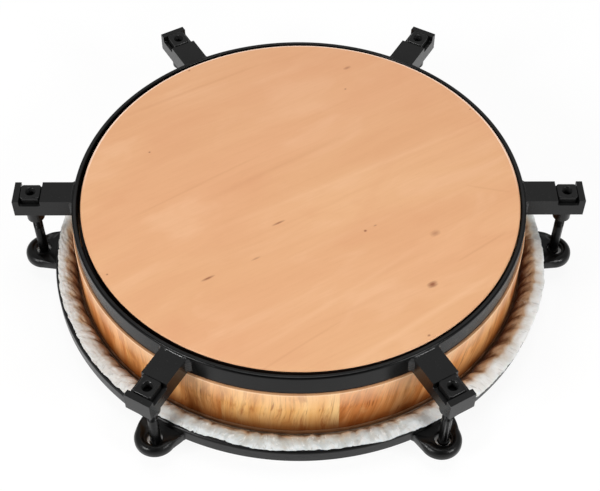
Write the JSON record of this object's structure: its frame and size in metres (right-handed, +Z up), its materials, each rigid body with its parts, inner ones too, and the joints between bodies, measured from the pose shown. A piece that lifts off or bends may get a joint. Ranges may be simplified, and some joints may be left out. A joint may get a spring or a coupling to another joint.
{
  "type": "conga drum",
  "caption": "Shallow travel conga on its playing face: wood shell, closing board in a steel ring with lug arms, rawhide head in an eared tension rim drawn by bolts.",
  "frame": {"origin": "centre of the playing face, the plane that the drum rests on when it lies head down", "axes": "+Z up from the playing face to the bottom board, +X along the arm and bolt of lug 1, lugs 2 to 6 follow every 60 degrees anticlockwise seen from above"},
  "size_m": [0.3808, 0.3372, 0.079],
  "materials": {
    "board_wood": "pale hardwood ply, satin lacquer",
    "shell_wood": "glued staves, semi-gloss lacquer",
    "black_steel": "satin black powder coat",
    "black_bolt": "black oxide",
    "bright_washer": "bright zinc",
    "hoop_steel": "plain drawn steel, hidden in the fold",
    "rawhide": "natural rawhide, matte"
  },
  "bodies": {
    "shell_body": {"bottom_board": "board_wood", "frame_ring": "black_steel", "drum_skin": "rawhide", "stave_01": "shell_wood", "stave_02": "shell_wood", "stave_03": "shell_wood", "stave_04": "shell_wood", "stave_05": "shell_wood", "stave_06": "shell_wood", "stave_07": "shell_wood", "stave_08": "shell_wood", "stave_09": "shell_wood", "stave_10": "shell_wood", "stave_11": "shell_wood", "stave_12": "shell_wood", "stave_13": "shell_wood", "arm_1": "black_steel", "arm_2": "black_steel", "arm_3": "black_steel", "arm_4": "black_steel", "arm_5": "black_steel", "arm_6": "black_steel", "lug_nut_1": "black_steel", "lug_nut_2": "black_steel", "lug_nut_3": "black_steel", "lug_nut_4": "black_steel", "lug_nut_5": "black_steel", "lug_nut_6": "black_steel"},
    "rim_body": {"rim": "black_steel", "rim_lip": "black_steel", "flesh_hoop": "hoop_steel", "ear_1": "black_steel", "ear_2": "black_steel", "ear_3": "black_steel", "ear_4": "black_steel", "ear_5": "black_steel", "ear_6": "black_steel", "washer_1": "bright_washer", "washer_2": "bright_washer", "washer_3": "bright_washer", "washer_4": "bright_washer", "washer_5": "bright_washer", "washer_6": "bright_washer"},
    "bolt_1": {"tuning_bolt_1": "black_bolt"},
    "bolt_2": {"tuning_bolt_2": "black_bolt"},
    "bolt_3": {"tuning_bolt_3": "black_bolt"},
    "bolt_4": {"tuning_bolt_4": "black_bolt"},
    "bolt_5": {"tuning_bolt_5": "black_bolt"},
    "bolt_6": {"tuning_bolt_6": "black_bolt"}
  },
  "joints": [
    {"name": "rim_travel", "type": "slide", "parent": "shell_body", "child": "rim_body", "axis": [0, 0, 1], "range_m": [-0.006, 0.005], "deforming": ["drum_skin"]},
    {"name": "bolt_1_turn", "type": "hinge", "parent": "rim_body", "child": "bolt_1", "pos_m": [0.1782, 0, 0.0125], "axis": [0, 0, 1], "range_deg": [-2160, 1800]},
    {"name": "bolt_2_turn", "type": "hinge", "parent": "rim_body", "child": "bolt_2", "pos_m": [0.0891, 0.15433, 0.0125], "axis": [0, 0, 1], "range_deg": [-2160, 1800]},
    {"name": "bolt_3_turn", "type": "hinge", "parent": "rim_body", "child": "bolt_3", "pos_m": [-0.0891, 0.15433, 0.0125], "axis": [0, 0, 1], "range_deg": [-2160, 1800]},
    {"name": "bolt_4_turn", "type": "hinge", "parent": "rim_body", "child": "bolt_4", "pos_m": [-0.1782, 0, 0.0125], "axis": [0, 0, 1], "range_deg": [-2160, 1800]},
    {"name": "bolt_5_turn", "type": "hinge", "parent": "rim_body", "child": "bolt_5", "pos_m": [-0.0891, -0.15433, 0.0125], "axis": [0, 0, 1], "range_deg": [-2160, 1800]},
    {"name": "bolt_6_turn", "type": "hinge", "parent": "rim_body", "child": "bolt_6", "pos_m": [0.0891, -0.15433, 0.0125], "axis": [0, 0, 1], "range_deg": [-2160, 1800]}
  ],
  "couplings": [
    {"joint": "bolt_1_turn", "follows": "rim_travel", "rad_per_m": 6283.2},
    {"joint": "bolt_2_turn", "follows": "rim_travel", "rad_per_m": 6283.2},
    {"joint": "bolt_3_turn", "follows": "rim_travel", "rad_per_m": 6283.2},
    {"joint": "bolt_4_turn", "follows": "rim_travel", "rad_per_m": 6283.2},
    {"joint": "bolt_5_turn", "follows": "rim_travel", "rad_per_m": 6283.2},
    {"joint": "bolt_6_turn", "follows": "rim_travel", "rad_per_m": 6283.2}
  ]
}
